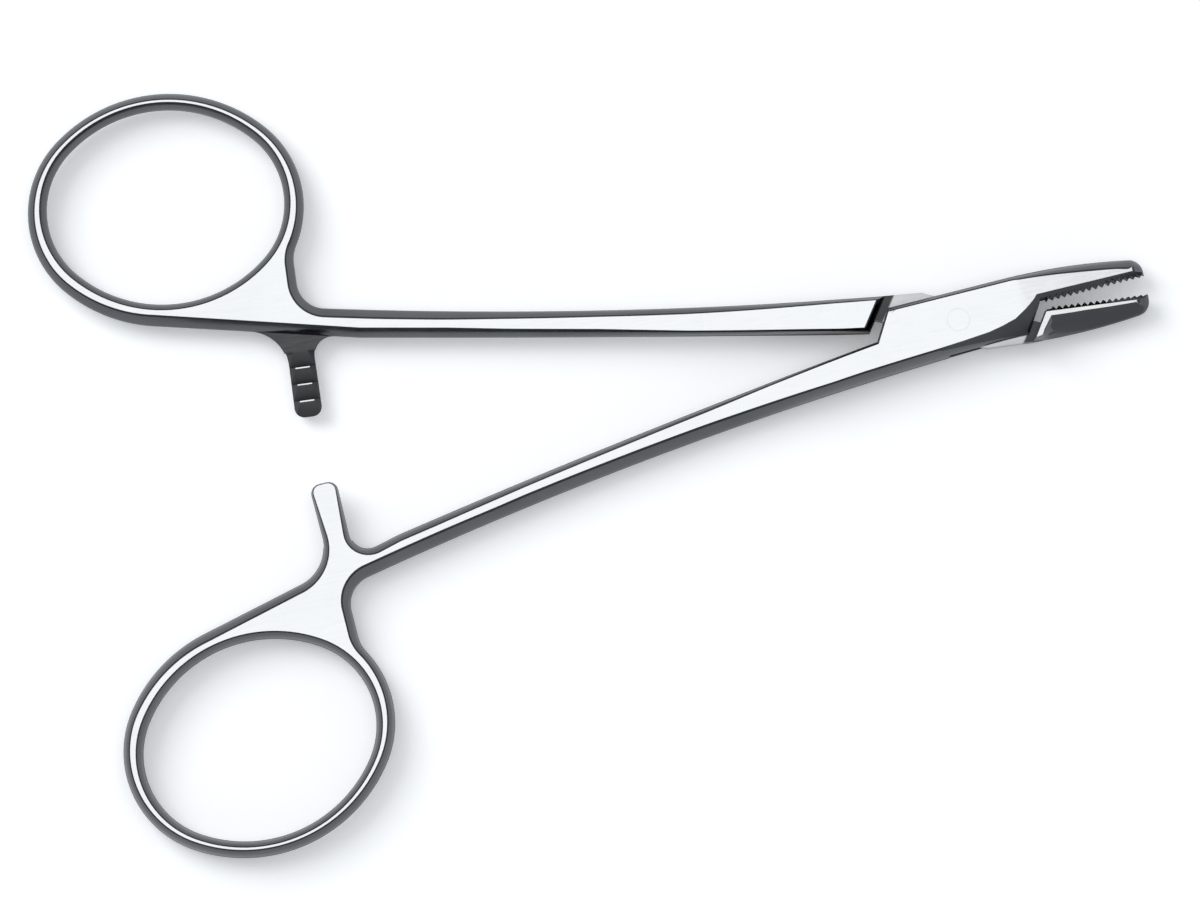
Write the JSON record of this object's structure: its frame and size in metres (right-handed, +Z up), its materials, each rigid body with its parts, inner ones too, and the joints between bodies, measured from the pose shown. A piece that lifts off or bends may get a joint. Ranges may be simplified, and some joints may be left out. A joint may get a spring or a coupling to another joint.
{
  "type": "surgical needle holder",
  "caption": "Needle holder with finger rings, a ratchet and a box lock: its serrated jaws grip a curved needle while the handles are squeezed.",
  "frame": {"origin": "on the rivet's axis, at the underside of the box lock, on which the instrument lies", "axes": "+X from the rivet towards the jaws, midway between the two jaws as they lie open; +Y towards the tongue half's finger ring; +Z up, along the rivet"},
  "size_m": [0.1214, 0.0857, 0.005],
  "materials": {
    "ground_steel": "polished stainless steel with ground flat faces",
    "rivet_steel": "stainless steel ground flush"
  },
  "bodies": {
    "box_side": {"box_half": "ground_steel", "pivot_pin": "rivet_steel"},
    "tongue_side": {"tongue_half": "ground_steel"}
  },
  "joints": [
    {"name": "box_lock", "type": "hinge", "parent": "box_side", "child": "tongue_side", "pos_m": [0, 0, 0.0025], "axis": [0, 0, -1], "range_deg": [-6.2, 53.5]}
  ]
}
